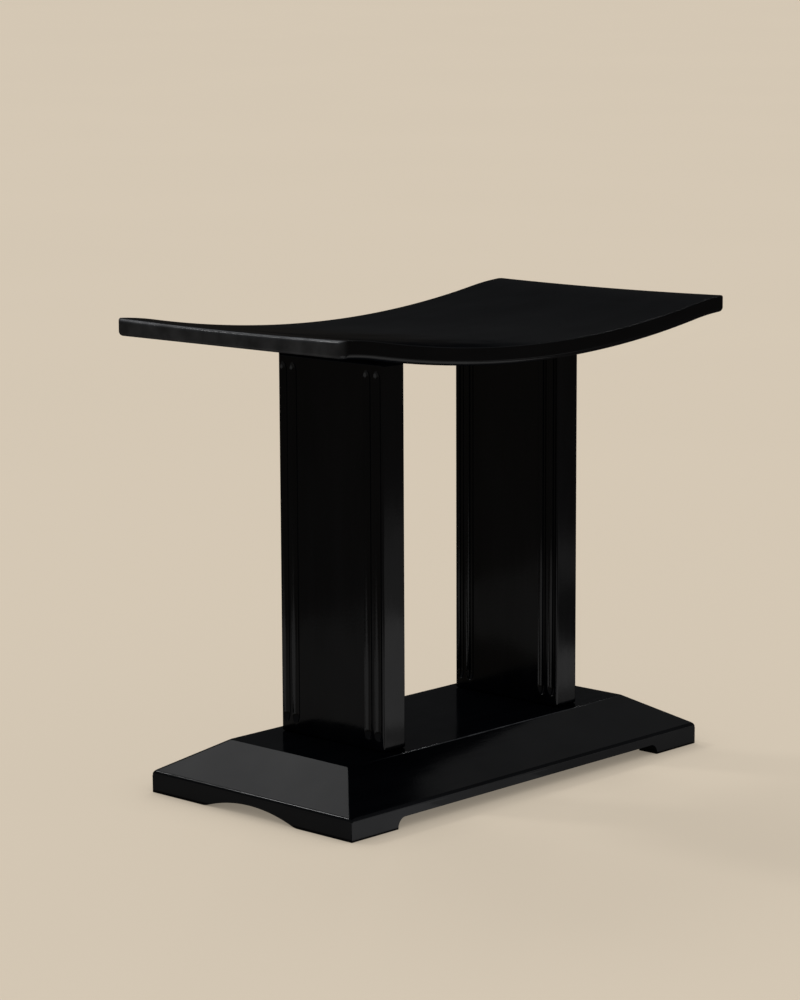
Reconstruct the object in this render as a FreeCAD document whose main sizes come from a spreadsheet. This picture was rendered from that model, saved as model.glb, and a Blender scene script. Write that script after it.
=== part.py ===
import FreeCAD, Part
import math
import os
import re
import Sketcher

V = FreeCAD.Vector

# Sizes in millimetres. The origin is the middle of the stool's footprint on the floor,
# X runs along the seat's long side, Y across it and Z up.
SIZES = [
    ("plinth_length", 480),
    ("plinth_width", 254),
    ("rail_height", 16),
    ("rail_thickness", 22),
    ("edge_height", 4),
    ("bevel_run", 50),
    ("bevel_rise", 29),
    ("plinth_arris", 2),
    ("cutout_height", 10),
    ("long_foot", 59),
    ("cove_radius", 9),
    ("end_foot", 70),
    ("toe_radius", 25),
    ("block_leg", 36),
    ("block_floor_gap", 3),
    ("upright_width", 129.5),
    ("upright_thickness", 29),
    ("upright_spacing", 239),
    ("upright_arris", 2),
    ("upright_ease", 1.5),
    ("flute_width", 9.6),
    ("flute_depth", 3.2),
    ("flute_stop", 10),
    ("outer_flute_share", 0.9),
    ("inner_flute_share", 0.71),
    ("seat_length", 522),
    ("seat_width", 283),
    ("seat_thickness", 15.9),
    ("seat_low", 413),
    ("seat_radius", 1255),
    ("seat_dish", 1.6),
    ("roll_length", 46),
    ("roll_radius", 360),
    ("seat_corner", 6),
    ("seat_arris", 4),
    ("seat_bevel", 2),
    ("tenon_shoulder", 14),
    ("tenon_thickness", 12),
    ("tenon_in_seat", 8),
    ("tenon_in_deck", 20),
    ("fit_clearance", 0.1),
    ("end_clearance", 0.6),
    ("overrun", 20),
    ("plinth_half", "=plinth_length / 2"),
    ("plinth_side", "=plinth_width / 2"),
    ("bevel_foot", "=rail_height + edge_height"),
    ("deck", "=bevel_foot + bevel_rise"),
    ("arch_half", "=plinth_side - end_foot"),
    ("arch_radius", "=(arch_half ^ 2 + cutout_height ^ 2) / (2 * cutout_height)"),
    ("upright_place", "=upright_spacing / 2"),
    ("upright_half", "=upright_width / 2"),
    ("seat_half", "=seat_length / 2"),
    ("roll_start", "=seat_half - roll_length"),
    ("bow_height", "=seat_low + seat_radius"),
    ("under_radius", "=seat_radius + seat_thickness"),
    ("dish_radius", "=(seat_width ^ 2 / 4 + seat_dish ^ 2) / (2 * seat_dish)"),
    ("roll_share", "=roll_start / seat_radius"),
    ("roll_reach", "=seat_radius + roll_radius"),
    ("roll_place", "=roll_reach * roll_share"),
    ("roll_height", "=bow_height - roll_reach * sqrt(1 - roll_share ^ 2)"),
    ("under_roll", "=roll_radius - seat_thickness"),
    ("seat_under", "=bow_height - sqrt(under_radius ^ 2 - upright_place ^ 2)"),
    ("flute_radius", "=(flute_width ^ 2 / 4 + flute_depth ^ 2) / (2 * flute_depth)"),
    ("tenon_half", "=upright_half - tenon_shoulder"),
]
NAMES = {name for name, _ in SIZES}

doc = FreeCAD.newDocument("stool")
sheet = doc.addObject("Spreadsheet::Sheet", "Sizes")
for row, (name, text) in enumerate(SIZES, 1):
    sheet.set(f"A{row}", name)
    sheet.set(f"B{row}", str(text))
    sheet.setAlias(f"B{row}", name)
doc.recompute()


def cell(text):
    """An expression with each size's name pointing at its cell."""
    return re.sub(r"[a-z_]+", lambda m: f"Sizes.{m[0]}" if m[0] in NAMES else m[0], text)


def value(text):
    """The present value of an expression of sizes."""
    return float(sheet.evalExpression(cell(text)))


def bind(item, field, text):
    """Ties one property of an object to an expression of sizes."""
    item.setExpression(field, cell(text))


def new_body(name):
    body = doc.addObject("PartDesign::Body", name)
    body.Label = name
    return body


def plane(body, role):
    """One of the body's own origin planes."""
    return next(f for f in body.Origin.OriginFeatures if f.Role == role)


def new_sketch(body, name, role, out="0", across="0", up="0", tilt="0"):
    """A sketch on an origin plane, moved out along the plane's normal, across and up along its axes,
    and tilted about its first axis."""
    sketch = body.newObject("Sketcher::SketchObject", name)
    sketch.AttachmentSupport = [(plane(body, role), "")]
    sketch.MapMode = "FlatFace"
    bind(sketch, "AttachmentOffset.Base.z", out)
    bind(sketch, "AttachmentOffset.Base.x", across)
    bind(sketch, "AttachmentOffset.Base.y", up)
    if tilt != "0":
        spin = FreeCAD.Rotation(V(1, 0, 0), value(tilt))
        sketch.AttachmentOffset = FreeCAD.Placement(sketch.AttachmentOffset.Base, spin)
        bind(sketch, "AttachmentOffset.Rotation.Angle", tilt)
    return sketch


def place(sketch, key, geo, pos, x, y):
    """Ties a point of a sketch to two expressions, its distances from the sketch's origin."""
    for axis, kind, text, rail in (("x", "DistanceX", x, -2), ("y", "DistanceY", y, -1)):
        if text == "0":
            sketch.addConstraint(Sketcher.Constraint("PointOnObject", geo, pos, rail))
            continue
        number = sketch.addConstraint(Sketcher.Constraint(kind, -1, 1, geo, pos, value(text)))
        sketch.renameConstraint(number, f"{key}_{axis}")
        bind(sketch, f"Constraints.{key}_{axis}", text)


def measure(sketch, key, geo, text):
    """Ties a circle's or an arc's radius to an expression."""
    number = sketch.addConstraint(Sketcher.Constraint("Radius", geo, value(text)))
    sketch.renameConstraint(number, key)
    bind(sketch, f"Constraints.{key}", text)


def outline(sketch, corners, key="c"):
    """A closed outline. A corner is (x, y), or (x, y, radius, turn) where an arc leaves it,
    turning left for 1 and right for -1."""
    spots = [V(value(c[0]), value(c[1]), 0) for c in corners]
    ends = []
    for i, corner in enumerate(corners):
        start, stop = spots[i], spots[(i + 1) % len(spots)]
        if len(corner) == 2:
            ends.append((sketch.addGeometry(Part.LineSegment(start, stop)), 1, 2))
            continue
        radius, turn = value(corner[2]), corner[3]
        chord = stop - start
        left = V(-chord.y, chord.x, 0).normalize()
        reach = math.sqrt(radius ** 2 - chord.Length ** 2 / 4)
        centre = start + chord / 2 + left * (turn * reach)
        first, last = (start, stop) if turn > 0 else (stop, start)
        angles = [math.atan2(p.y - centre.y, p.x - centre.x) for p in (first, last)]
        geo = sketch.addGeometry(Part.ArcOfCircle(Part.Circle(centre, V(0, 0, 1), radius), *angles))
        ends.append((geo, 1, 2) if turn > 0 else (geo, 2, 1))
    for i, (geo, first, last) in enumerate(ends):
        after = ends[(i + 1) % len(ends)]
        sketch.addConstraint(Sketcher.Constraint("Coincident", geo, last, after[0], after[1]))
    for i, (geo, first, last) in enumerate(ends):
        place(sketch, f"{key}{i}", geo, first, corners[i][0], corners[i][1])
        if len(corners[i]) > 2:
            measure(sketch, f"{key}{i}_radius", geo, corners[i][2])


def pad(body, sketch, length, midplane=False):
    item = body.newObject("PartDesign::Pad", sketch.Name + "_pad")
    item.Profile = sketch
    item.Midplane = midplane
    bind(item, "Length", length)
    return item


def cut(body, sketch, midplane=False, reverse=False):
    """A pocket right through what lies beyond the sketch."""
    item = body.newObject("PartDesign::Pocket", sketch.Name + "_cut")
    item.Profile = sketch
    item.Midplane = midplane
    item.Reversed = reverse
    item.Type = "ThroughAll"
    return item


def turn(body, sketch, kind, axis="V_Axis", angle="360", midplane=False):
    """A turn of a sketch about one of its own axes, added or taken away."""
    item = body.newObject(f"PartDesign::{kind}", sketch.Name + "_turn")
    item.Profile = sketch
    item.ReferenceAxis = (sketch, [axis])
    item.Midplane = midplane
    bind(item, "Angle", angle)
    return item


def soften(body, feature, name, size, test, kind="Fillet", field="Radius"):
    """Rounds or bevels the edges of a feature that pass the test, which gets their middle too."""
    doc.recompute()
    edges = [f"Edge{i}" for i, e in enumerate(feature.Shape.Edges, 1) if test(e.CenterOfMass, e)]
    item = body.newObject(f"PartDesign::{kind}", name)
    item.Base = (feature, edges)
    bind(item, field, size)
    doc.recompute()
    return item


def near(one, other):
    return math.isclose(one, other, abs_tol=value("fit_clearance"))


def make_seat():
    """A slab with rounded corners, cut beneath and on top by a hollow arc that rolls over at both
    ends. The one on top lies lower in the middle of the seat's width than along its edges."""
    body = new_body("seat")
    plan = new_sketch(body, "seat_plan", "XY_Plane", "seat_low - seat_thickness - overrun")
    x, y = "seat_half", "(seat_width / 2)"
    outline(plan, [
        (f"seat_corner - {x}", f"-{y}"),
        (f"{x} - seat_corner", f"-{y}", "seat_corner", 1),
        (x, f"seat_corner - {y}"),
        (x, f"{y} - seat_corner", "seat_corner", 1),
        (f"{x} - seat_corner", y),
        (f"seat_corner - {x}", y, "seat_corner", 1),
        (f"-{x}", f"{y} - seat_corner"),
        (f"-{x}", f"seat_corner - {y}", "seat_corner", 1),
    ])
    pad(body, plan, "seat_thickness + overrun * 4")
    reach = "(seat_half + overrun)"
    under = new_sketch(body, "seat_underside", "XZ_Plane")
    bend, fold = "under_radius * roll_share", "bow_height - under_radius * sqrt(1 - roll_share ^ 2)"
    tip = f"roll_height + sqrt(under_roll ^ 2 - (roll_place - {reach}) ^ 2)"
    outline(under, [
        (f"-{reach}", tip, "under_roll", -1),
        (f"-{bend}", fold, "under_radius", 1),
        (bend, fold, "under_roll", -1),
        (reach, tip),
        (reach, "seat_low - seat_thickness - overrun * 2"),
        (f"-{reach}", "seat_low - seat_thickness - overrun * 2"),
    ])
    cut(body, under, midplane=True)
    wide = "(seat_width / 2 + overrun)"
    sag = f"(dish_radius - seat_dish - sqrt(dish_radius ^ 2 - {wide} ^ 2))"
    bow = new_sketch(body, "seat_bow", "YZ_Plane", up="bow_height")
    outline(bow, [
        (f"-{wide}", f"{sag} - seat_radius", "dish_radius", 1),
        (wide, f"{sag} - seat_radius"),
        (wide, "overrun * 4 - seat_radius"),
        (f"-{wide}", "overrun * 4 - seat_radius"),
    ])
    turn(body, bow, "Groove", "H_Axis", "2 * asin(roll_share)", midplane=True)
    roll = new_sketch(
        body, "seat_roll", "YZ_Plane", "roll_place", up="roll_height", tilt="-asin(roll_share)",
    )
    outline(roll, [
        (f"-{wide}", f"{sag} + roll_radius", "dish_radius", 1),
        (wide, f"{sag} + roll_radius"),
        (wide, "overrun * 4 + roll_radius"),
        (f"-{wide}", "overrun * 4 + roll_radius"),
    ])
    end = turn(body, roll, "Groove", "H_Axis", "2 * asin(roll_share)")
    ends = body.newObject("PartDesign::Mirrored", "seat_rolls")
    ends.Originals = [end]
    ends.MirrorPlane = (plane(body, "YZ_Plane"), [""])
    body.Tip = ends
    eased = soften(
        body, ends, "seat_upper_arris", "seat_bevel", lambda c, e: on_rim(e) and above_middle(e),
        kind="Chamfer", field="Size",
    )
    soften(
        body, eased, "seat_lower_arris", "seat_arris", lambda c, e: on_rim(e) and not above_middle(e),
    )
    sketch = new_sketch(body, "seat_mortises", "XY_Plane", "seat_under + tenon_in_seat + end_clearance")
    mortises(sketch)
    cut(body, sketch)
    return body


def above_middle(edge):
    """Whether an edge of the seat starts above the middle of its thickness."""
    spot = edge.Vertexes[0].Point
    return spot.z > value("bow_height") - math.sqrt(value("under_radius - seat_thickness / 2") ** 2 - spot.x ** 2)


def on_rim(edge):
    """Whether an edge of the seat runs along its outline, and neither up it nor across the slab."""
    return not is_upright(edge) and not near(edge.BoundBox.YLength, value("seat_width"))


def is_upright(edge):
    """Whether an edge stands straight up."""
    box = edge.BoundBox
    return box.ZLength > box.XLength + box.YLength


def box(sketch, key, x, y, half, side):
    """A rectangle round a place, with its half length and half width."""
    outline(sketch, [
        (f"{x} - {half}", f"{y} - {side}"),
        (f"{x} + {half}", f"{y} - {side}"),
        (f"{x} + {half}", f"{y} + {side}"),
        (f"{x} - {half}", f"{y} + {side}"),
    ], key)


def mortises(sketch):
    """The two sockets that take the uprights' tenons, with room for glue."""
    half, side = "(tenon_thickness / 2 + fit_clearance)", "(tenon_half + fit_clearance)"
    box(sketch, "left", "-upright_place", "0", half, side)
    box(sketch, "right", "upright_place", "0", half, side)


def make_upright(name, side):
    """A board standing on the deck, its top scribed to the seat's underside, with two stopped
    round-ended flutes along each edge of both wide faces. side is "" on the +X side."""
    body = new_body(name)
    bind(body, "Placement.Base.x", f"{side}upright_place")
    plan = new_sketch(body, name + "_plan", "XY_Plane", "deck")
    x, y = "upright_thickness / 2", "upright_half"
    outline(plan, [("-" + x, "-" + y), (x, "-" + y), (x, y), ("-" + x, y)])
    board = pad(body, plan, "seat_under - deck + overrun")
    eased = soften(body, board, name + "_eased", "upright_arris", lambda c, e: is_upright(e))
    soften(
        body, eased, name + "_foot", "upright_ease", lambda c, e: near(e.BoundBox.ZMax, value("deck")),
        kind="Chamfer", field="Size",
    )
    back = "" if side else "-"
    scribe = new_sketch(body, name + "_scribe", "XZ_Plane", "0", f"{back}upright_place")
    inner, outer = "upright_place - upright_thickness", "upright_place + upright_thickness"
    rise = "(bow_height - sqrt(under_radius ^ 2 - ({}) ^ 2))"
    top = "seat_under + overrun * 2"
    if side:
        ring = [
            (f"-({outer})", rise.format(outer), "under_radius", 1),
            (f"-({inner})", rise.format(inner)),
            (f"-({inner})", top),
            (f"-({outer})", top),
        ]
    else:
        ring = [
            (inner, rise.format(inner), "under_radius", 1),
            (outer, rise.format(outer)),
            (outer, top),
            (inner, top),
        ]
    outline(scribe, ring)
    cut(body, scribe, midplane=True)
    flutes = []
    for key, share in (("outer", "outer_flute_share"), ("inner", "inner_flute_share")):
        groove = new_sketch(
            body, f"{name}_{key}_flute", "XZ_Plane", f"-upright_half * {share}",
            "upright_thickness / 2 + flute_radius - flute_depth",
        )
        outline(groove, [
            ("0", "deck + flute_stop"),
            ("0", "seat_under - flute_stop", "flute_radius", 1),
            ("-flute_radius", "seat_under - flute_stop - flute_radius"),
            ("-flute_radius", "deck + flute_stop + flute_radius", "flute_radius", 1),
        ])
        flutes.append(turn(body, groove, "Groove"))
        doc.recompute()
    for key, role in (("front", "XZ_Plane"), ("inside", "YZ_Plane")):
        item = body.newObject("PartDesign::Mirrored", f"{name}_{key}_flutes")
        item.Originals = flutes
        item.MirrorPlane = (plane(body, role), [""])
        body.Tip = item
        doc.recompute()
    item = body.newObject("PartDesign::PolarPattern", f"{name}_far_flutes")
    item.Originals = flutes
    item.Axis = (next(f for f in body.Origin.OriginFeatures if f.Role == "Z_Axis"), [""])
    item.Angle = 360
    item.Occurrences = 2
    body.Tip = item
    doc.recompute()
    tenon = new_sketch(body, name + "_tenon", "XY_Plane", "deck - tenon_in_deck")
    box(tenon, "tenon", "0", "0", "tenon_thickness / 2", "tenon_half")
    pad(body, tenon, "seat_under + tenon_in_seat - deck + tenon_in_deck")
    return body


def make_plinth_top():
    """A thick board with a low square edge and four bevels that meet in hips round a flat deck."""
    body = new_body("plinth_top")
    long = new_sketch(body, "plinth_long", "XZ_Plane")
    outline(long, [
        ("-plinth_half", "rail_height"),
        ("plinth_half", "rail_height"),
        ("plinth_half", "bevel_foot"),
        ("plinth_half - bevel_run", "deck"),
        ("bevel_run - plinth_half", "deck"),
        ("-plinth_half", "bevel_foot"),
    ])
    board = pad(body, long, "plinth_width", midplane=True)
    cross = new_sketch(body, "plinth_cross", "YZ_Plane")
    slope = "bevel_rise / bevel_run"
    for key, sign in (("far", ""), ("near", "-")):
        ring = [
            (f"{sign}(plinth_side + overrun)", f"bevel_foot - overrun * {slope}"),
            (f"{sign}(plinth_side + overrun)", "deck + overrun"),
            (f"{sign}(plinth_side - bevel_run - overrun)", f"deck + overrun * {slope}"),
        ]
        outline(cross, ring, key)
    hips = cut(body, cross, midplane=True)
    soften(
        body, hips, "plinth_arrises", "plinth_arris",
        lambda c, e: c.z > value("bevel_foot - fit_clearance"),
    )
    sockets = new_sketch(body, "deck_mortises", "XY_Plane", "deck - tenon_in_deck - end_clearance")
    mortises(sockets)
    cut(body, sockets, reverse=True)
    return body


def make_long_rail(name, side):
    """A mitred foot rail with a straight raised cut-out that ends in coves. side is "" at +Y."""
    body = new_body(name)
    plan = new_sketch(body, name + "_plan", "XY_Plane")
    other = "-" if not side else ""
    outline(plan, [
        (f"{other}plinth_half", f"{side}plinth_side"),
        (f"{other}(plinth_half - rail_thickness)", f"{side}(plinth_side - rail_thickness)"),
        (f"{side}(plinth_half - rail_thickness)", f"{side}(plinth_side - rail_thickness)"),
        (f"{side}plinth_half", f"{side}plinth_side"),
    ])
    pad(body, plan, "rail_height")
    arch = new_sketch(body, name + "_cutout", "XZ_Plane")
    edge = "(plinth_half - long_foot)"
    outline(arch, [
        (f"-{edge}", "-overrun"),
        (edge, "-overrun"),
        (edge, "cutout_height - cove_radius", "cove_radius", 1),
        (f"{edge} - cove_radius", "cutout_height"),
        (f"cove_radius - {edge}", "cutout_height", "cove_radius", 1),
        (f"-{edge}", "cutout_height - cove_radius"),
    ])
    cut(body, arch, midplane=True)
    return body


def make_end_rail(name, side):
    """A mitred foot rail with a shallow arch whose toes are rounded off. side is "" at +X."""
    body = new_body(name)
    plan = new_sketch(body, name + "_plan", "XY_Plane")
    other = "-" if not side else ""
    outline(plan, [
        (f"{side}plinth_half", f"{other}plinth_side"),
        (f"{side}plinth_half", f"{side}plinth_side"),
        (f"{side}(plinth_half - rail_thickness)", f"{side}(plinth_side - rail_thickness)"),
        (f"{side}(plinth_half - rail_thickness)", f"{other}(plinth_side - rail_thickness)"),
    ])
    pad(body, plan, "rail_height")
    arch = new_sketch(body, name + "_cutout", "YZ_Plane")
    outline(arch, [
        ("-arch_half", "-overrun"),
        ("arch_half", "-overrun"),
        ("arch_half", "0", "arch_radius", 1),
        ("-arch_half", "0"),
    ])
    bow = cut(body, arch, midplane=True)
    soften(
        body, bow, name + "_toes", "toe_radius",
        lambda c, e: near(c.z, 0) and near(abs(c.y), value("arch_half")),
    )
    return body


def make_block(name, x, y):
    """A three-sided block glued into a corner of the foot rails. x and y give the corner's signs."""
    body = new_body(name)
    plan = new_sketch(body, name + "_plan", "XY_Plane", "block_floor_gap")
    inner, side = "(plinth_half - rail_thickness)", "(plinth_side - rail_thickness)"
    outline(plan, [
        (x + inner, y + side),
        (f"{x}({inner} - block_leg)", y + side),
        (x + inner, f"{y}({side} - block_leg)"),
    ])
    pad(body, plan, "rail_height - block_floor_gap")
    return body


nodes = [
    make_seat(),
    make_upright("upright_left", "-"),
    make_upright("upright_right", ""),
    make_plinth_top(),
    make_long_rail("rail_front", "-"),
    make_long_rail("rail_back", ""),
    make_end_rail("rail_left", "-"),
    make_end_rail("rail_right", ""),
    make_block("corner_block_front_left", "-", "-"),
    make_block("corner_block_front_right", "", "-"),
    make_block("corner_block_back_left", "-", ""),
    make_block("corner_block_back_right", "", ""),
]
doc.recompute()

wrong = [f"{o.Name} {o.State}" for o in doc.Objects if {"Invalid", "Error"} & set(o.State)]
wrong += [n.Label for n in nodes if n.Shape.isNull() or not n.Shape.isValid()]
pads = [f for n in nodes for f in n.Group if f.isDerivedFrom("PartDesign::Pad") and f.BaseFeature]
wrong += [f"{f.Name} lost wood" for f in pads if f.Shape.Volume < f.BaseFeature.Shape.Volume]
if wrong:
    raise SystemExit("not built: " + ", ".join(wrong))

os.makedirs("parts", exist_ok=True)
for node in nodes:
    node.Shape.exportStep(f"parts/{node.Label}.step")
    print(node.Label, len(node.Shape.Solids), round(node.Shape.Volume))
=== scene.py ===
import bmesh
import bpy
import math
import numpy as np
from mathutils import Matrix, Vector


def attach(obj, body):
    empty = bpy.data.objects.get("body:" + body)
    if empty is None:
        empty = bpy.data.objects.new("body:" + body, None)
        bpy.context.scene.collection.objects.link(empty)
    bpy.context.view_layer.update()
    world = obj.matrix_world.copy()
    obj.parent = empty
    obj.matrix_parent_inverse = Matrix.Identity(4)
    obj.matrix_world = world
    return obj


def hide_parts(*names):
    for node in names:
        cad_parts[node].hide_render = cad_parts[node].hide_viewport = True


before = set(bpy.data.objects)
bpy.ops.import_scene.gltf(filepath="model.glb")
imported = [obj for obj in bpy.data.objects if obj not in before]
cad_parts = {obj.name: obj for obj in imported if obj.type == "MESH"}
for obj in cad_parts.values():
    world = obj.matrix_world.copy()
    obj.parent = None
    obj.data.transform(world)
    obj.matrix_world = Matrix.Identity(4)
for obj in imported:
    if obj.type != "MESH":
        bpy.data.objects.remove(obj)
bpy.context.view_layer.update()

MM = 0.001                             # a millimetre, in the scene's metres
TOUCHING, CLOSED_UP = 0.002 * MM, 0.001 * MM       # points sewn together, edges dropped

# Sizes in millimetres, as the stool is built.
PLINTH = np.array([240.0, 127.0])      # half length and half width of the plinth
DECK, BEVEL_FOOT, RAIL_TOP = 49.0, 20.0, 16.0      # heights above the floor
BEVEL_RUN = 50.0                       # width of a bevel, seen from above
PLINTH_ARRIS = 4.0                     # rounding of a bevel's lower edge and of the deck's lip
LOW_HIP, HIP = 1.4, 4.5                # rounding of the plinth's corners, at the foot and above
SEAM = 0.02                            # hairline where the plinth board meets its rails

RAIL_THICK, RAIL_ARRIS = 22.0, 0.6
CUT_UP = 10.0                          # height of the cut-outs under the rails
COVE, COVE_AT, COVE_STEP = 9.0, 172.0, 1.0         # end of a long cut-out
ARCH_RADIUS, TOE_RADIUS = 167.45, 25.0             # curves of an end rail's cut-out

UPRIGHT = np.array([14.5, 64.75])      # half thickness and half width of an upright
UPRIGHT_AT = 119.5                     # middle of an upright, from the middle of the stool
UPRIGHT_ARRIS, UPRIGHT_EASE = 2.0, 1.5             # its corners, and its foot
FLUTES = np.array([0.9, 0.71]) * UPRIGHT[1]        # middles of the flutes
FLUTE_RADIUS, FLUTE_AXIS = 5.2, 2.0    # a flute's radius, and its axis's distance off the face
FLUTE_HALF = 4.8                       # half the width of a flute at the face
FLUTE_LIP = 0.12                       # softness of a flute's edges
FLUTE_STOP = 10.0                      # plain wood above and below a flute
NOSE = 9.6                             # length of a flute's rounded end

SEAT = np.array([261.0, 141.5])        # half length and half width of the seat
SEAT_LOW, SEAT_THICK, SEAT_DISH = 413.0, 15.9, 1.6
BOW_RADIUS, ROLL_RADIUS, ROLL_LENGTH = 1255.0, 360.0, 46.0
SEAT_CORNER = 7.0
TOP_ARRIS_SIDE, TOP_ARRIS_END = 0.9, 4.2           # rounding of the seat's upper edge
LOW_ARRIS_SIDE, LOW_ARRIS_END = 4.8, 3.5           # and of its lower edge


def run(*stops):
    """Numbers along a line: each (start, end, count) is an even run, and runs that touch share
    a number."""
    return np.unique(np.round(np.concatenate([np.linspace(*s) for s in stops]), 6))


def both_ways(positive):
    """The same numbers on both sides of zero, in rising order."""
    return np.unique(np.concatenate([-positive, positive]))


def lay(name, sheets, finish, stands_for):
    """Turns grids of points (row, column, xyz), in millimetres, into one closed skin.
    Every four neighbours on a grid make a face, and grids that share an edge are sewn along it.
    Each grid comes with its painted light, which is 0 on plain lacquer and grows where a grey is
    painted in for light: a painted highlight along the seat's upper end edges and the plinth's
    long lips, and a painted lighter face on the seat's ends."""
    points, faces, painted_lights, start = [], [], [], 0
    for grid, painted_light in sheets:
        rows, columns = grid.shape[:2]
        index = np.arange(rows * columns).reshape(rows, columns) + start
        corner = [index[:-1, :-1], index[:-1, 1:], index[1:, 1:], index[1:, :-1]]
        faces.append(np.stack(corner, -1).reshape(-1, 4))
        points.append(grid.reshape(-1, 3) * MM)
        painted_lights.append(np.broadcast_to(painted_light, (rows, columns)).reshape(-1))
        start += rows * columns
    mesh = bpy.data.meshes.new(name)
    mesh.from_pydata(np.concatenate(points).tolist(), [], np.concatenate(faces).tolist())
    # This attribute carries painted light: painted highlights and painted lighter faces.
    layer = mesh.attributes.new("painted_light", "FLOAT", "POINT")
    layer.data.foreach_set("value", np.concatenate(painted_lights).astype(np.float32))
    sew(mesh)
    place(name, mesh, finish, stands_for)


def sew(mesh):
    """Joins points that coincide, drops faces that closed up and turns every face outwards."""
    skin = bmesh.new()
    skin.from_mesh(mesh)
    bmesh.ops.remove_doubles(skin, verts=skin.verts, dist=TOUCHING)
    bmesh.ops.dissolve_degenerate(skin, edges=skin.edges, dist=CLOSED_UP)
    bmesh.ops.recalc_face_normals(skin, faces=skin.faces)
    skin.to_mesh(mesh)
    skin.free()
    mesh.polygons.foreach_set("use_smooth", np.ones(len(mesh.polygons), bool))
    mesh.update()


def place(name, mesh, finish, stands_for):
    """Puts a piece into the scene in place of its CAD node."""
    piece = bpy.data.objects.new(name, mesh)
    bpy.context.scene.collection.objects.link(piece)
    mesh.materials.append(finish)
    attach(piece, "root")
    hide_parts(stands_for)
    return piece


def girdle(along_x, along_y, turns):
    """Stations once round a rectangle with rounded corners, as (share of x, share of y, normal).
    The shares place a station on the inner rectangle that the corner circles are centred on, and
    the normal is the outward direction there: constant along a side, turning by turns in a
    corner."""
    shares, normals = [], []
    sides = [(along_y, 1, 0), (along_x[::-1], 0, 1), (along_y[::-1], -1, 0), (along_x, 0, -1)]
    corner_of = [(1, 1), (-1, 1), (-1, -1), (1, -1)]
    for k, (run_of, nx, ny) in enumerate(sides):
        fixed = np.full(len(run_of), float(nx + ny))
        shares.append(np.stack([fixed, run_of] if nx else [run_of, fixed], -1))
        normals.append(np.tile([float(nx), float(ny)], (len(run_of), 1)))
        angle = np.radians(90 * k + turns)
        shares.append(np.tile(np.array(corner_of[k], float), (len(turns), 1)))
        normals.append(np.stack([np.cos(angle), np.sin(angle)], -1))
    shares, normals = np.concatenate(shares), np.concatenate(normals)
    return np.vstack([shares, shares[:1]]), np.vstack([normals, normals[:1]])


def ring(stations, half, radius, inset):
    """Plan points, row by row, round a rectangle of that half size, drawn in by inset and given
    corners of that radius: a point is its share of the inner rectangle plus one radius along its
    normal."""
    shares, normals = stations
    radius, inset = np.broadcast_arrays(radius, inset)
    inner = half - (radius + inset)[:, None, None]
    return shares * inner + radius[:, None, None] * normals


def dot_row(grid, row, at):
    """Adds a row that is one point, which closes a skin over its first (row 0) or last ring."""
    closing = np.broadcast_to(np.asarray(at, float), (1,) + grid.shape[1:])
    return np.concatenate([closing, grid] if row == 0 else [grid, closing])


# ---------------------------------------------------------------- seat

LEAN = (SEAT[0] - ROLL_LENGTH) / BOW_RADIUS    # sine of the slope where the bow turns over
BOW_CENTRE = SEAT_LOW + BOW_RADIUS
ROLL_AT = (BOW_RADIUS + ROLL_RADIUS) * LEAN
ROLL_CENTRE = BOW_CENTRE - (BOW_RADIUS + ROLL_RADIUS) * math.sqrt(1 - LEAN ** 2)


def bowed(x, below):
    """Height, along the stool, of a sheet that lies below the rim's own line by that much: the
    inside of the bow circle, turning over near each end into the roll circle tangent to it."""
    ax = np.abs(x)
    hollow = BOW_CENTRE - np.sqrt((BOW_RADIUS + below) ** 2 - ax ** 2)
    rolled = ROLL_CENTRE + np.sqrt((ROLL_RADIUS - below) ** 2 - (ax - ROLL_AT) ** 2)
    return np.where(ax > (BOW_RADIUS + below) * LEAN, rolled, hollow)


def seat_top(x, y):
    """Height of the sitting face, which across the stool is dished: it lies below the rim by what
    a circle through both rims is deep at y."""
    dish_radius = (SEAT[1] ** 2 + SEAT_DISH ** 2) / (2 * SEAT_DISH)
    return bowed(x, SEAT_DISH - dish_radius + np.sqrt(dish_radius ** 2 - y ** 2))


def seat_under(x, y=0.0):
    """Height of the underside, one thickness below the rim all along the stool and level across
    it, so that y makes no difference."""
    return bowed(x, SEAT_THICK)


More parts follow.
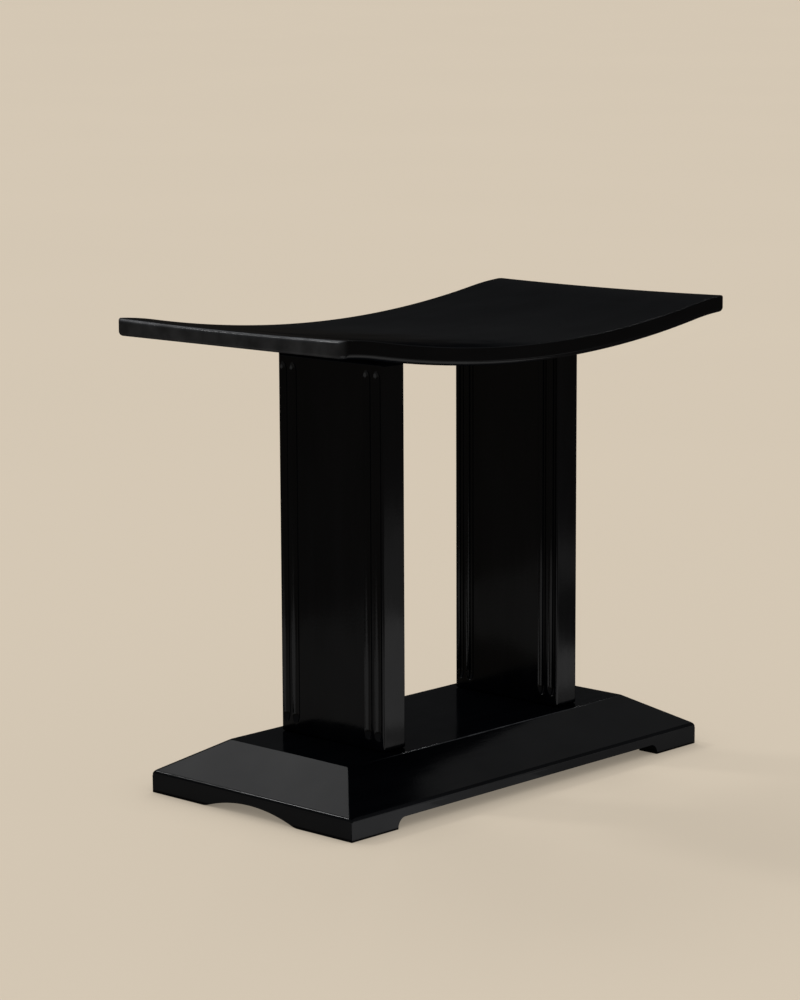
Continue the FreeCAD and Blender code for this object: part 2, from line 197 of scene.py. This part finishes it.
def make_seat(finish):
    """The top and underside are height fields on one plan grid. Between them the rim is carried
    round the rounded plan: a quarter circle, an upright wall and a quarter circle. Both radii
    change from the sides to the ends with the square of the normal. The ends are painted grey
    all over, which stands in for the light falling on them, and carry a patchy painted highlight
    half-way round their upper edge, strongest near the corners."""
    share_x = both_ways(run((0, 0.8, 26), (0.8, 1, 22)))
    share_y = both_ways(run((0, 1, 15)))
    shares, normals = girdle(share_x, share_y, np.linspace(0, 90, 13)[1:-1])
    at_end, at_side = normals[None, :, 0] ** 2, normals[None, :, 1] ** 2
    bend = np.radians(np.linspace(0, 90, 9))[:, None]
    turned = bend[::-1]
    flat_share = np.array([1, 0.5, 0.1])[:, None]      # rows between the plan grid and an arris
    wall_share = np.array([0.06, 0.5, 0.94])[:, None, None]

    def rim(inset, height, lift):
        """Rows round the plan, drawn in by inset and lying above a sheet's own height by lift."""
        plan = shares * (SEAT - SEAT_CORNER) + (SEAT_CORNER - inset)[..., None] * normals
        x, y = plan[..., 0], plan[..., 1]
        return np.stack([x, y, height(x, y) + lift], -1)

    arris = TOP_ARRIS_SIDE + (TOP_ARRIS_END - TOP_ARRIS_SIDE) * at_end
    upper = np.concatenate([
        rim(arris + (SEAT_CORNER - arris) * flat_share, seat_top, 0.0),
        rim(arris * (1 - np.cos(turned)), seat_top, -arris * (1 - np.sin(turned))),
    ])
    arris = LOW_ARRIS_END + (LOW_ARRIS_SIDE - LOW_ARRIS_END) * at_side
    lower = np.concatenate([
        rim(arris * (1 - np.cos(bend)), seat_under, arris * (1 - np.sin(bend))),
        rim(arris + (SEAT_CORNER - arris) * flat_share[::-1], seat_under, 0.0),
    ])
    wall = upper[-1] * (1 - wall_share) + lower[0] * wall_share
    skirt = np.concatenate([upper, wall, lower])

    # Painted light on the seat's ends: a grey on the end faces standing in for the light on them,
    # and a painted highlight half-way round the upper edge, strongest near the corners.
    painted_end_grey, middle_highlight_share = 0.13, 0.45
    edge, thin = np.sin(bend[:, 0]), np.sin(2 * bend[:, 0]) ** 6
    none, full = np.zeros(len(flat_share)), np.ones(len(wall_share))
    painted_end_rows = np.concatenate([none, edge, full, edge[::-1], none])
    arris_highlight = np.zeros(len(painted_end_rows))
    arris_highlight[len(none):len(none) + len(thin)] = thin
    highlight_toward_corners = middle_highlight_share + (1 - middle_highlight_share) * shares[None, :, 1] ** 2
    painted_light = (painted_end_grey * painted_end_rows[:, None] + arris_highlight[:, None] * highlight_toward_corners) * at_end

    x, y = np.meshgrid(share_x * (SEAT[0] - SEAT_CORNER), share_y * (SEAT[1] - SEAT_CORNER))
    top = np.stack([x, y, seat_top(x, y)], -1)
    under = np.stack([x, y, seat_under(x, y)], -1)
    lay("seat_board", [(top, 0.0), (under, 0.0), (skirt, painted_light)], finish, "seat")


# ---------------------------------------------------------------- uprights

FLUTE_LOW = DECK + FLUTE_STOP + NOSE
FLUTE_TOP = float(seat_under(UPRIGHT_AT)) - FLUTE_STOP - NOSE


def flute_depth(y, z):
    """Depth of the four stopped flutes below an upright's wide face. Each is a groove of one
    radius with its axis a little outside the face: the depth is the root of what the square of
    the radius leaves over the squares of the offset across and of the offset beyond the groove's
    ends, less the axis's distance. The offset beyond the ends is shortened, which draws them out
    into noses. A soft maximum with zero rounds the lips."""
    across = np.min(np.abs(np.abs(y)[..., None] - FLUTES), -1)
    beyond = FLUTE_HALF / NOSE * np.maximum(np.maximum(FLUTE_LOW - z, z - FLUTE_TOP), 0)
    left_over = np.maximum(FLUTE_RADIUS ** 2 - across ** 2 - beyond ** 2, 0)
    deep = np.sqrt(left_over) - FLUTE_AXIS
    return 0.5 * (deep + np.sqrt(deep ** 2 + FLUTE_LIP ** 2))


def make_upright(name, side, finish):
    """A rounded rectangle carried up from an eased foot to the bowed underside of the seat, with
    its two wide faces sunk by flute_depth. Columns crowd in the flutes and rows in their noses."""
    inner = UPRIGHT[1] - UPRIGHT_ARRIS
    groove = FLUTE_HALF * np.sin(np.radians(np.linspace(-90, 90, 15)))
    lips = np.array([-5.3, -5.0, 5.0, 5.3])            # just outside a flute's edges
    marks = np.concatenate([c + np.concatenate([groove, lips]) for c in FLUTES])
    marks = np.concatenate([marks[marks < inner], [0, 20, 36, inner]])
    share_y = both_ways(marks / inner)
    share_x = np.array([-1, -0.94, 0, 0.94, 1.0])
    turns = np.array([4, 8, 12, 16, 20, 24, 30, 38, 46, 56, 66, 78.0])
    stations = girdle(share_x, share_y, turns)
    shares, _ = stations
    wide_face = np.abs(shares[:, 0]) == 1

    bend = np.radians(np.linspace(0, 90, 6))
    foot = DECK + UPRIGHT_EASE * np.sin(bend)
    nose = NOSE * np.sin(np.radians(np.linspace(0, 90, 12)))
    shaft = np.concatenate([
        [52, 55, 58.5],
        FLUTE_LOW - nose[::-1],
        np.linspace(90, 360, 10),
        FLUTE_TOP + nose,
        FLUTE_TOP + NOSE + np.array([0.5, 3.5]),
    ])
    head = [float(seat_under(UPRIGHT_AT))]
    z = np.concatenate([foot, shaft, head])
    inset = np.zeros(len(z))
    inset[:len(foot)] = UPRIGHT_EASE * (1 - np.sin(bend))

    plan = ring(stations, UPRIGHT, UPRIGHT_ARRIS, inset)
    height = np.broadcast_to(z[:, None], plan.shape[:2]).copy()
    sunk = UPRIGHT[0] - flute_depth(plan[..., 1], height)
    grooved = np.sign(plan[..., 0]) * np.minimum(np.abs(plan[..., 0]), sunk)
    x = np.where(wide_face, grooved, plan[..., 0])
    height[-1] = seat_under(x[-1] + side * UPRIGHT_AT)
    skin = np.stack([x + side * UPRIGHT_AT, plan[..., 1], height], -1)
    skin = dot_row(skin, 0, (side * UPRIGHT_AT, 0, DECK))
    skin = dot_row(skin, -1, (side * UPRIGHT_AT, 0, seat_under(UPRIGHT_AT)))
    lay(name, [(skin, 0.0)], finish, name.replace("post", "upright"))


# ---------------------------------------------------------------- plinth

def make_plinth(finish):
    """The section of the plinth board, a square edge, a straight bevel and a flat deck with arcs
    of one radius between them, carried round its rectangle so that the bevels meet in rounded
    hips. A painted highlight lies along the lips of the deck on the long sides, between the
    uprights."""
    slope = math.atan2(DECK - BEVEL_FOOT, BEVEL_RUN)
    steep = math.pi / 2 - slope
    turn_low = np.linspace(0, steep, 9)
    foot_z = BEVEL_FOOT - PLINTH_ARRIS * math.tan(steep / 2)
    low = np.stack([
        PLINTH_ARRIS - PLINTH_ARRIS * np.cos(turn_low),
        foot_z + PLINTH_ARRIS * np.sin(turn_low),
    ], -1)
    turn_top = np.linspace(slope, 0, 6)
    lip = BEVEL_RUN + PLINTH_ARRIS * math.tan(slope / 2)
    top = np.stack([
        lip - PLINTH_ARRIS * np.sin(turn_top),
        DECK - PLINTH_ARRIS + PLINTH_ARRIS * np.cos(turn_top),
    ], -1)
    share = np.array([0.012, 0.03, 0.25, 0.5, 0.75, 0.97, 0.988])[:, None]
    bevel = low[-1] * (1 - share) + top[0] * share
    wall = [[SEAM, RAIL_TOP], [0, RAIL_TOP + SEAM], [0, RAIL_TOP + 1]]
    deck = [[lip + 0.7, DECK], [lip + 2, DECK]]
    section = np.concatenate([wall, low, bevel, top, deck])

    hip = np.full(len(section), HIP)
    hip[:len(wall)] = LOW_HIP
    hip[len(wall):len(wall) + len(low)] = np.linspace(LOW_HIP, HIP, len(low))
    near_corner = np.array([0.994, 0.9985, 1])
    stations = girdle(
        both_ways(np.append(near_corner, run((0, 0.9, 19)))),
        both_ways(np.append(near_corner, 0.4)),
        np.linspace(0, 90, 8)[1:-1],
    )
    plan = ring(stations, PLINTH, hip, section[:, 0])
    height = np.broadcast_to(section[:, 1][:, None, None], plan.shape[:2] + (1,))
    skin = np.concatenate([plan, height], -1)
    skin = dot_row(dot_row(skin, 0, (0, 0, RAIL_TOP)), -1, (0, 0, DECK))

    # A painted highlight along the deck's lips on the long sides, fading out beyond the uprights.
    lip_highlight, highlight_reach = 0.4, 120.0
    at_lip = np.zeros(len(skin))
    above = len(deck) + 1                      # rows after the lip, with the closing one
    at_lip[-len(top) - above:-above] = np.sin(np.linspace(0, np.pi, len(top)))
    on_long_side = np.abs(skin[..., 1]) > UPRIGHT[1]
    between_uprights = np.exp(-(skin[..., 0] / highlight_reach) ** 4)
    painted_light = lip_highlight * at_lip[:, None] * between_uprights * on_long_side
    lay("plinth_board", [(skin, painted_light)], finish, "plinth_top")


def long_edge():
    """Lower edge of a long rail from its middle to its end, as (along, up): a straight cut-out,
    a quarter circle down to a small step, and a flat foot."""
    bend = np.radians(np.linspace(90, 0, 12))
    cove = np.stack([COVE_AT + COVE * np.cos(bend), COVE_STEP + COVE * np.sin(bend)], -1)
    return np.concatenate([[[0, CUT_UP]], cove, [[COVE_AT + COVE, 0], [PLINTH[0], 0]]])


def end_edge():
    """Lower edge of an end rail from its middle to its end: an arch that is highest in the
    middle, a toe tangent to the arch and the floor, and a flat foot."""
    centre = CUT_UP - ARCH_RADIUS
    toe_at = math.sqrt((ARCH_RADIUS + TOE_RADIUS) ** 2 - (TOE_RADIUS - centre) ** 2)
    lean = math.atan2(toe_at, TOE_RADIUS - centre)
    sweep = np.linspace(0, lean, 24)
    arch = np.stack([ARCH_RADIUS * np.sin(sweep), centre + ARCH_RADIUS * np.cos(sweep)], -1)
    roll = np.linspace(lean, 0, 10)[1:]
    toe = np.stack([toe_at - TOE_RADIUS * np.sin(roll), TOE_RADIUS - TOE_RADIUS * np.cos(roll)], -1)
    return np.concatenate([arch, toe, [[PLINTH[1], 0]]])


def make_rail(name, half_edge, across, finish):
    """A rail's outline, its lower edge mirrored about the middle and closed by a straight top,
    carried from the outer face to the inner one, with both ends drawn in to a mitre. The outer
    face's edges are eased, except the top one, which lies flush under the plinth board. Its other
    edges stay sharp where the outline turns."""
    left = half_edge[:0:-1] * [-1, 1]
    reach = half_edge[-1, 0]
    outline = np.concatenate([left, half_edge, [[reach, RAIL_TOP], [-reach, RAIL_TOP]]])
    long, sign = across
    depth = sign * (PLINTH[1] if long else PLINTH[0])
    faces_at = np.array([depth, depth - sign * RAIL_THICK])
    mitred = np.clip(outline[:, 0], RAIL_THICK - reach, reach - RAIL_THICK)
    along = np.stack([outline[:, 0], mitred])
    up = np.broadcast_to(outline[:, 1], along.shape)
    out = np.broadcast_to(faces_at[:, None], along.shape)
    grid = np.stack([along, out, up] if long else [out, along, up], -1)

    count = len(outline)
    here = np.arange(count)
    ahead = np.roll(here, -1)
    walls = np.stack([here, ahead, ahead + count, here + count], -1)
    caps = [here[::-1].tolist(), (here + count).tolist()]
    mesh = bpy.data.meshes.new(name)
    mesh.from_pydata((grid.reshape(-1, 3) * MM).tolist(), [], walls.tolist() + caps)
    sew(mesh)
    piece = place(name, mesh, finish, name.replace("foot_", ""))

    ends = np.empty(len(mesh.edges) * 2, int)
    mesh.edges.foreach_get("vertices", ends)
    ends = ends.reshape(-1, 2)
    height = np.tile(outline[:, 1], 2)[ends]
    eased = (ends < count).all(1) & (height < RAIL_TOP).any(1)
    step = np.roll(outline, -1, 0) - outline
    heading = np.arctan2(step[:, 1], step[:, 0])
    turn = np.abs(np.angle(np.exp(1j * (heading - np.roll(heading, 1)))))
    goes_inwards = np.abs(ends[:, 1] - ends[:, 0]) == count
    sharp_turn = 0.5                           # radians
    hard = np.where(goes_inwards, turn[ends.min(1) % count] > sharp_turn, ~eased)
    weight = mesh.attributes.new("bevel_weight_edge", "FLOAT", "EDGE")
    weight.data.foreach_set("value", eased.astype(np.float32))
    sharp = mesh.attributes.new("sharp_edge", "BOOLEAN", "EDGE")
    sharp.data.foreach_set("value", hard)
    soft = piece.modifiers.new("arris", "BEVEL")
    soft.width, soft.segments, soft.limit_method = RAIL_ARRIS * MM, 3, "WEIGHT"
    soft.harden_normals = True


# ---------------------------------------------------------------- finishes

class Finish:
    """A procedural material. A node's inputs take sockets of other nodes or plain values."""

    def __init__(self, name):
        self.material = bpy.data.materials.new(name)
        self.material.use_nodes = True
        self.tree = self.material.node_tree
        self.shader = self.tree.nodes["Principled BSDF"]

    def feed(self, into, what):
        """Joins a socket to an input, or sets the input to a value."""
        if isinstance(what, bpy.types.NodeSocket):
            self.tree.links.new(what, into)
        else:
            into.default_value = what

    def add(self, kind, inputs, **fields):
        """A new node with its fields set and its inputs, by name or number, fed."""
        node = self.tree.nodes.new(kind)
        for field, what in fields.items():
            setattr(node, field, what)
        for key, what in inputs.items():
            self.feed(node.inputs[key], what)
        return node.outputs

    def wear(self, **inputs):
        """Feeds the finish's own shader. An underscore in a name stands for a space."""
        for key, what in inputs.items():
            self.feed(self.shader.inputs[key.replace("_", " ")], what)

    def noise(self, stretch, scale, detail):
        """Noise on the piece's own coordinates, drawn out by stretch."""
        own = self.add("ShaderNodeTexCoord", {})["Object"]
        drawn = self.add("ShaderNodeMapping", {"Vector": own, "Scale": stretch})["Vector"]
        inputs = {"Vector": drawn, "Scale": scale, "Detail": detail}
        return self.add("ShaderNodeTexNoise", inputs)["Fac"]

    def ramp(self, fac, *stops):
        """Colours at places from 0 to 1, blended between."""
        node = self.tree.nodes.new("ShaderNodeValToRGB")
        stops_of = node.color_ramp.elements
        for k, (at, colour) in enumerate(stops):
            stop = stops_of[k] if k < 2 else stops_of.new(at)
            stop.position, stop.color = at, (*colour, 1)
        self.feed(node.inputs["Fac"], fac)
        return node.outputs["Color"]

    def between(self, fac, low, high):
        """A value from 0 to 1 brought to lie from low to high."""
        inputs = {"Value": fac, "To Min": low, "To Max": high}
        return self.add("ShaderNodeMapRange", inputs)["Result"]

    def reckon(self, operation, *terms, clamp=False):
        """A sum or product of terms."""
        inputs = dict(enumerate(terms))
        return self.add("ShaderNodeMath", inputs, operation=operation, use_clamp=clamp)[0]

    def blend(self, share, first, second):
        """A colour on the way from the first to the second by share."""
        # Of this node's inputs, 6 and 7 are the two colours; of its outputs, 2 is the colour.
        return self.add("ShaderNodeMix", {0: share, 6: first, 7: second}, data_type="RGBA")[2]

    def relief(self, height, strength, distance, **over):
        """A bump of that height, over another one if its normal is given."""
        inputs = {"Height": height, "Strength": strength, "Distance": distance, **over}
        return self.add("ShaderNodeBump", inputs)["Normal"]


EVENLY = (1, 1, 1)                     # for a noise that is drawn out in no direction


def black_lacquer(name, stretch):
    """Brushed black lacquer over wood: nearly black, with a thin clear gloss that is stronger in
    some places than in others and sharper or softer along the brush strokes, and a surface that
    waves slightly and shows the strokes. Where a piece carries painted light, the black turns
    patchy grey: a painted highlight or a painted lighter face."""
    f = Finish(name)
    drift = f.noise(stretch, 22, 5)
    body = f.ramp(drift, (0.3, (0.0003, 0.0004, 0.0006)), (0.75, (0.0007, 0.0008, 0.0011)))
    # The patchy grey blended in below is painted light: painted highlights and painted lighter
    # faces.
    painted_light = f.add("ShaderNodeAttribute", {}, attribute_name="painted_light")["Fac"]
    patchy = f.between(f.noise(EVENLY, 60, 4), 0.0, 2.0)
    colour = f.blend(f.reckon("MULTIPLY", painted_light, patchy), body, (0.056, 0.058, 0.062, 1))

    strokes = f.noise(stretch, 90, 3)
    peel = f.noise(EVENLY, 420, 2)
    wave = f.relief(f.noise(EVENLY, 11, 1), 1.0, 0.0012)
    skin = f.relief(f.reckon("MULTIPLY_ADD", strokes, 1.5, peel), 0.05, 0.0004, Normal=wave)
    f.wear(
        Base_Color=colour, Roughness=0.6, Specular_IOR_Level=0.0, Normal=skin,
        Coat_Weight=f.between(f.noise(EVENLY, 14, 2), 0.0135, 0.0195),
        Coat_Roughness=f.between(strokes, 0.08, 0.17), Coat_IOR=2.4, Coat_Normal=skin,
    )
    return f.material


def bare_wood(name):
    """Unfinished brown softwood of the glue blocks: long streaks of early and late wood."""
    f = Finish(name)
    streaks = f.noise((4, 40, 40), 6, 6)
    early, middling, late = (0.19, 0.105, 0.055), (0.29, 0.175, 0.095), (0.37, 0.24, 0.14)
    f.wear(
        Base_Color=f.ramp(streaks, (0.3, early), (0.5, middling), (0.72, late)),
        Roughness=f.between(streaks, 0.55, 0.8),
        Normal=f.relief(streaks, 0.2, 0.0005),
    )
    return f.material


def paper(name):
    """Matt cream paper of the floor, with a barely seen mottle. The eye and every mirror see most
    of its colour evenly lit, with a painted shadow close under the stool, and the rest of it with
    the light and the stool's shadow on it."""
    evenly_lit, close, painted_shadow_share = 0.80, 0.06, 0.6     # share, metres, share
    f = Finish(name)
    mottle = f.noise(EVENLY, 0.7, 2)
    cream = f.ramp(mottle, (0.3, (0.575, 0.499, 0.398)), (0.7, (0.581, 0.504, 0.402)))
    f.wear(Base_Color=cream, Roughness=0.9, Specular_IOR_Level=0.0)

    path = f.add("ShaderNodeLightPath", {})
    seen = f.reckon("ADD", path["Is Camera Ray"], path["Is Glossy Ray"])
    seen = f.reckon("ADD", seen, path["Is Transmission Ray"], clamp=True)
    nearness = {"Color": cream, "Distance": close}
    # A painted shadow: the floor's glow is darkened close under the stool.
    under = f.add("ShaderNodeAmbientOcclusion", nearness, samples=8)["Color"]
    glow = f.add("ShaderNodeEmission", {"Color": f.blend(painted_shadow_share, cream, under)})["Emission"]
    layers = {0: f.reckon("MULTIPLY", seen, evenly_lit), 1: f.shader.outputs["BSDF"], 2: glow}
    mixed = f.add("ShaderNodeMixShader", layers)["Shader"]
    f.feed(f.tree.nodes["Material Output"].inputs["Surface"], mixed)
    return f.material


# ---------------------------------------------------------------- the stool

lacquer_along = black_lacquer("lacquer_along", (0.25, 2.0, 2.0))
lacquer_upward = black_lacquer("lacquer_upward", (2.0, 2.0, 0.25))
lacquer_across = black_lacquer("lacquer_across", (2.0, 0.25, 2.0))
raw_block = bare_wood("raw_block")

make_seat(lacquer_along)
make_upright("post_left", -1, lacquer_upward)
make_upright("post_right", 1, lacquer_upward)
make_plinth(lacquer_along)
make_rail("foot_rail_front", long_edge(), (True, -1), lacquer_along)
make_rail("foot_rail_back", long_edge(), (True, 1), lacquer_along)
make_rail("foot_rail_left", end_edge(), (False, -1), lacquer_across)
make_rail("foot_rail_right", end_edge(), (False, 1), lacquer_across)
for node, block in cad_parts.items():
    if node.startswith("corner_block"):
        block.data.materials.clear()
        block.data.materials.append(raw_block)


# ---------------------------------------------------------------- studio, in metres

def lay_floor():
    """A round sheet of paper, flat near the stool and rising with the square of the distance
    further out, so that it fills the picture up to the horizon."""
    flat, far_rim, rim_height = 4, 44, 3.0
    reach = np.concatenate([[0.0, 0.5, 1, 2, 3, flat], np.linspace(flat + 1, far_rim, 40)])
    angle = np.linspace(0, 2 * np.pi, 97)
    far, turn = np.meshgrid(reach, angle, indexing="ij")
    rise = rim_height * (np.maximum(far - flat, 0) / (far_rim - flat)) ** 2
    points = np.stack([far * np.cos(turn), far * np.sin(turn), rise], -1)
    rows, columns = points.shape[:2]
    index = np.arange(rows * columns).reshape(rows, columns)
    corner = [index[:-1, :-1], index[1:, :-1], index[1:, 1:], index[:-1, 1:]]
    quads = np.stack(corner, -1).reshape(-1, 4)
    mesh = bpy.data.meshes.new("paper_floor")
    mesh.from_pydata(points.reshape(-1, 3).tolist(), [], quads.tolist())
    sew(mesh)
    floor = bpy.data.objects.new("paper_floor", mesh)
    bpy.context.scene.collection.objects.link(floor)
    mesh.materials.append(paper("cream_paper"))


def soft_sun(name, towards, strength, spread):
    """A far soft lamp in the direction towards, as wide as spread in degrees."""
    lamp = bpy.data.lights.new(name, "SUN")
    lamp.energy, lamp.angle = strength, math.radians(spread)
    holder = bpy.data.objects.new(name, lamp)
    holder.rotation_euler = Vector(towards).to_track_quat("Z", "Y").to_euler()
    bpy.context.scene.collection.objects.link(holder)


def floor_panel(name, x, y, radiance):
    """A light panel lying just above the floor and shining up, from x[0] to x[1] and from y[0]
    to y[1]."""
    lamp = bpy.data.lights.new(name, "AREA")
    lamp.shape, lamp.size, lamp.size_y = "RECTANGLE", x[1] - x[0], y[1] - y[0]
    lamp.energy = radiance * math.pi * lamp.size * lamp.size_y
    holder = bpy.data.objects.new(name, lamp)
    off_floor = 0.0006
    holder.location = (sum(x) / 2, sum(y) / 2, off_floor)
    holder.rotation_euler = (math.pi, 0, 0)
    bpy.context.scene.collection.objects.link(holder)


lay_floor()
# Lamps above and behind, which the bevels and the lips mirror.
soft_sun("back_softbox", (0.22, 0.68, 0.70), 1.77, 25)
soft_sun("right_softbox", (0.692, 0.329, 0.642), 0.585, 40)
soft_sun("key_lamp", (-0.30, 0.68, 0.67), 1.4, 6)
soft_sun("rim_lamp", (0.722, 0.530, 0.445), 0.3, 4)
# Panels on the floor, which the standing faces mirror.
BY_PLINTH = (-0.26, -0.13)
floor_panel("front_panel", (-0.05, 0.50), (-0.62, -0.26), 6.6)
floor_panel("corner_strip", (-0.24, -0.10), BY_PLINTH, 6.6)
floor_panel("middle_strip", (-0.10, 0.04), BY_PLINTH, 4.2)
floor_panel("front_strip", (0.04, 0.40), BY_PLINTH, 2.4)
floor_panel("corner_panel", (-0.80, -0.24), (-0.65, -0.13), 4.5)
floor_panel("left_panel", (-0.75, -0.245), (-0.13, 0.55), 1.1)
floor_panel("side_panel", (0.30, 1.05), (-1.10, -0.62), 2.2)

world = bpy.data.worlds.new("studio_dome")
world.use_nodes = True
sky = world.node_tree.nodes["Background"].inputs
sky["Color"].default_value = (0.90, 0.90, 0.90, 1)
sky["Strength"].default_value = 1.0
bpy.context.scene.world = world
bpy.context.scene.view_settings.view_transform = "Standard"

# The camera stands, looks and leans as the one that took the photograph.
STANDS_AT = (-2.0516, -1.8870, 0.7157)
camera = bpy.data.cameras.new("camera")
camera.sensor_fit, camera.sensor_height, camera.sensor_width = "VERTICAL", 36, 36
camera.lens = 109.3
camera.clip_end = 300
eye = bpy.data.objects.new("camera", camera)
aim = Vector((0.71919, 0.67544, -0.16291)).normalized()
level = Vector((0.68405, -0.72942, -0.00443))
level = (level - aim * level.dot(aim)).normalized()
turned_to = Matrix((level, level.cross(aim), -aim)).transposed().to_4x4()
eye.matrix_world = Matrix.Translation(STANDS_AT) @ turned_to
bpy.context.scene.collection.objects.link(eye)
bpy.context.scene.camera = eye
